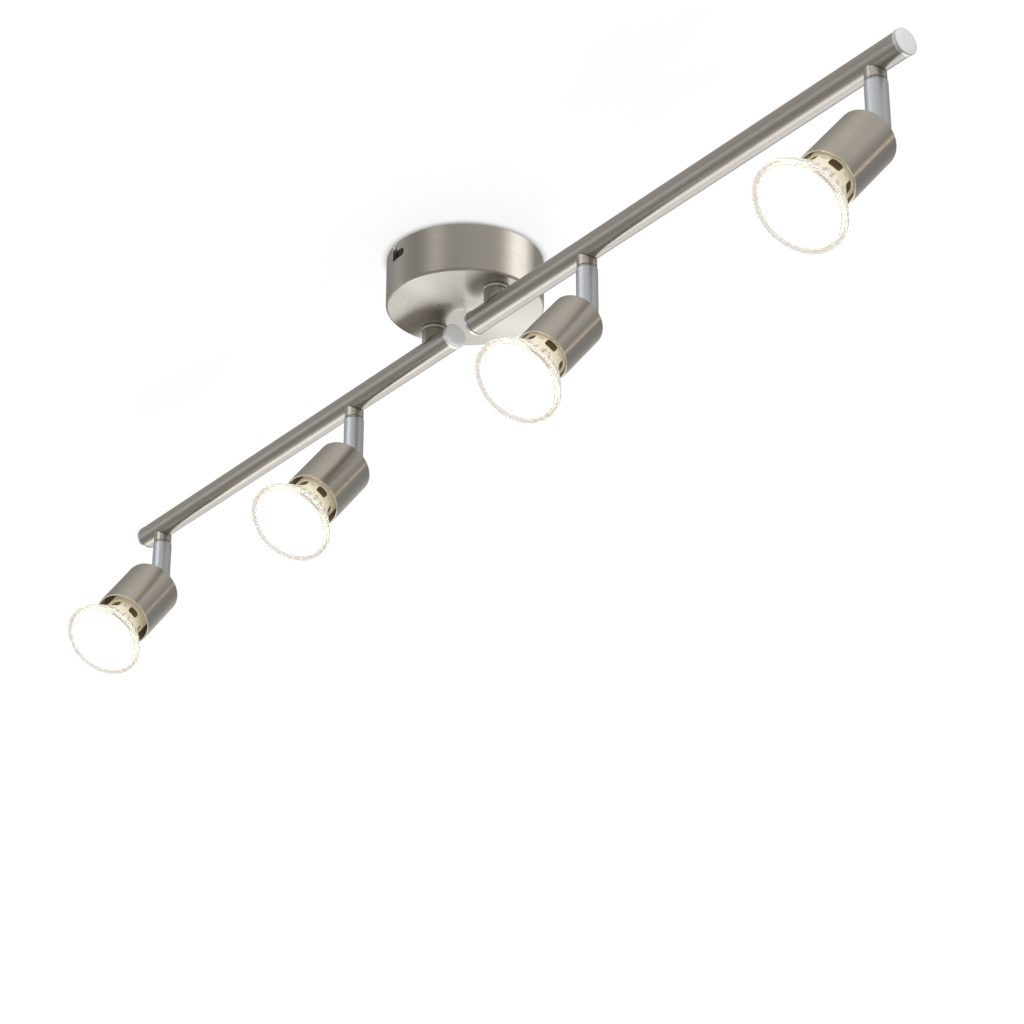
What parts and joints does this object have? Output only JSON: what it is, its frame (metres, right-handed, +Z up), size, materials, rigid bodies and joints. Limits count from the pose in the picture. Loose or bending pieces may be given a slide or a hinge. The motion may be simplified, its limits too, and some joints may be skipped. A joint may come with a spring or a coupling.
{
  "type": "track lighting fixture",
  "caption": "Ceiling spot bar: round canopy, swinging arms on short posts, and reflector-lamp heads that pan and tilt, in brushed nickel.",
  "frame": {"origin": "middle of the ceiling bracket's top face, on the ceiling plane", "axes": "+Z up into the ceiling, +X along the arms, and at rest the lamps aim down and towards -Y"},
  "size_m": [0.716, 0.1135, 0.1557],
  "materials": {
    "nickel": "brushed nickel plate, satin",
    "chrome": "polished chrome",
    "satin_silver": "satin chrome, cool grey",
    "zinc_steel": "zinc plate",
    "brass": "plain",
    "terminal_plastic": "matt",
    "ceramic": "cream glazed ceramic",
    "lamp_glass": "pressed glass, ribbed",
    "lamp_front": "clear rim, bright frosted face"
  },
  "bodies": {
    "root": {"ceiling_bracket": "zinc_steel", "canopy_cover": "nickel", "cover_stud_front": "zinc_steel", "cover_stud_back": "zinc_steel", "terminal_block": "terminal_plastic", "earth_screw": "brass", "pivot_ring_left": "chrome", "pivot_ring_right": "chrome", "friction_washer_left": "zinc_steel", "friction_washer_right": "zinc_steel"},
    "arm_left": {"arm_tube_left": "nickel", "outer_cap_left": "chrome", "inner_cap_left": "chrome", "pivot_post_left": "nickel", "pivot_nipple_left": "brass", "lock_nut_left": "brass", "spot_1_collar": "nickel", "spot_2_collar": "nickel"},
    "arm_right": {"arm_tube_right": "nickel", "outer_cap_right": "chrome", "inner_cap_right": "chrome", "pivot_post_right": "nickel", "pivot_nipple_right": "brass", "lock_nut_right": "brass", "spot_3_collar": "nickel", "spot_4_collar": "nickel"},
    "spot_1_swivel": {"spot_1_stem": "satin_silver", "spot_1_hinge_pin": "zinc_steel"},
    "spot_1_head": {"spot_1_knuckle": "zinc_steel", "spot_1_cup": "nickel", "spot_1_lampholder": "ceramic"},
    "spot_1_lamp": {"spot_1_lamp_base": "ceramic", "spot_1_lamp_reflector": "lamp_glass", "spot_1_lamp_lens": "lamp_front"},
    "spot_2_swivel": {"spot_2_stem": "satin_silver", "spot_2_hinge_pin": "zinc_steel"},
    "spot_2_head": {"spot_2_knuckle": "zinc_steel", "spot_2_cup": "nickel", "spot_2_lampholder": "ceramic"},
    "spot_2_lamp": {"spot_2_lamp_base": "ceramic", "spot_2_lamp_reflector": "lamp_glass", "spot_2_lamp_lens": "lamp_front"},
    "spot_3_swivel": {"spot_3_stem": "satin_silver", "spot_3_hinge_pin": "zinc_steel"},
    "spot_3_head": {"spot_3_knuckle": "zinc_steel", "spot_3_cup": "nickel", "spot_3_lampholder": "ceramic"},
    "spot_3_lamp": {"spot_3_lamp_base": "ceramic", "spot_3_lamp_reflector": "lamp_glass", "spot_3_lamp_lens": "lamp_front"},
    "spot_4_swivel": {"spot_4_stem": "satin_silver", "spot_4_hinge_pin": "zinc_steel"},
    "spot_4_head": {"spot_4_knuckle": "zinc_steel", "spot_4_cup": "nickel", "spot_4_lampholder": "ceramic"},
    "spot_4_lamp": {"spot_4_lamp_base": "ceramic", "spot_4_lamp_reflector": "lamp_glass", "spot_4_lamp_lens": "lamp_front"}
  },
  "joints": [
    {"name": "arm_left_swing", "type": "hinge", "parent": "root", "child": "arm_left", "pos_m": [-0.03, 0, -0.0435], "axis": [0, 0, 1], "range_deg": [-45, 45]},
    {"name": "arm_right_swing", "type": "hinge", "parent": "root", "child": "arm_right", "pos_m": [0.03, 0, -0.0435], "axis": [0, 0, 1], "range_deg": [-45, 45]},
    {"name": "spot_1_pan", "type": "hinge", "parent": "arm_left", "child": "spot_1_swivel", "pos_m": [-0.336, 0, -0.0435], "axis": [0, 0, 1], "range_deg": [-175, 175]},
    {"name": "spot_1_tilt", "type": "hinge", "parent": "spot_1_swivel", "child": "spot_1_head", "pos_m": [-0.336, 0, -0.0805], "axis": [0.9455, 0.3256, 0], "range_deg": [-50, 130]},
    {"name": "spot_1_lamp_twist", "type": "hinge", "parent": "spot_1_head", "child": "spot_1_lamp", "pos_m": [-0.336, 0, -0.0805], "axis": [0.2093, -0.6078, -0.766], "range_deg": [0, 25]},
    {"name": "spot_2_pan", "type": "hinge", "parent": "arm_left", "child": "spot_2_swivel", "pos_m": [-0.112, 0, -0.0435], "axis": [0, 0, 1], "range_deg": [-175, 175]},
    {"name": "spot_2_tilt", "type": "hinge", "parent": "spot_2_swivel", "child": "spot_2_head", "pos_m": [-0.112, 0, -0.0805], "axis": [0.9763, 0.2164, 0], "range_deg": [-50, 130]},
    {"name": "spot_2_lamp_twist", "type": "hinge", "parent": "spot_2_head", "child": "spot_2_lamp", "pos_m": [-0.112, 0, -0.0805], "axis": [0.1391, -0.6276, -0.766], "range_deg": [0, 25]},
    {"name": "spot_3_pan", "type": "hinge", "parent": "arm_right", "child": "spot_3_swivel", "pos_m": [0.112, 0, -0.0435], "axis": [0, 0, 1], "range_deg": [-175, 175]},
    {"name": "spot_3_tilt", "type": "hinge", "parent": "spot_3_swivel", "child": "spot_3_head", "pos_m": [0.112, 0, -0.0805], "axis": [0.9969, 0.0785, 0], "range_deg": [-50, 130]},
    {"name": "spot_3_lamp_twist", "type": "hinge", "parent": "spot_3_head", "child": "spot_3_lamp", "pos_m": [0.112, 0, -0.0805], "axis": [0.0504, -0.6408, -0.766], "range_deg": [0, 25]},
    {"name": "spot_4_pan", "type": "hinge", "parent": "arm_right", "child": "spot_4_swivel", "pos_m": [0.336, 0, -0.0435], "axis": [0, 0, 1], "range_deg": [-175, 175]},
    {"name": "spot_4_tilt", "type": "hinge", "parent": "spot_4_swivel", "child": "spot_4_head", "pos_m": [0.336, 0, -0.0805], "axis": [0.9954, -0.0958, 0], "range_deg": [-50, 130]},
    {"name": "spot_4_lamp_twist", "type": "hinge", "parent": "spot_4_head", "child": "spot_4_lamp", "pos_m": [0.336, 0, -0.0805], "axis": [-0.0616, -0.6398, -0.766], "range_deg": [0, 25]}
  ]
}
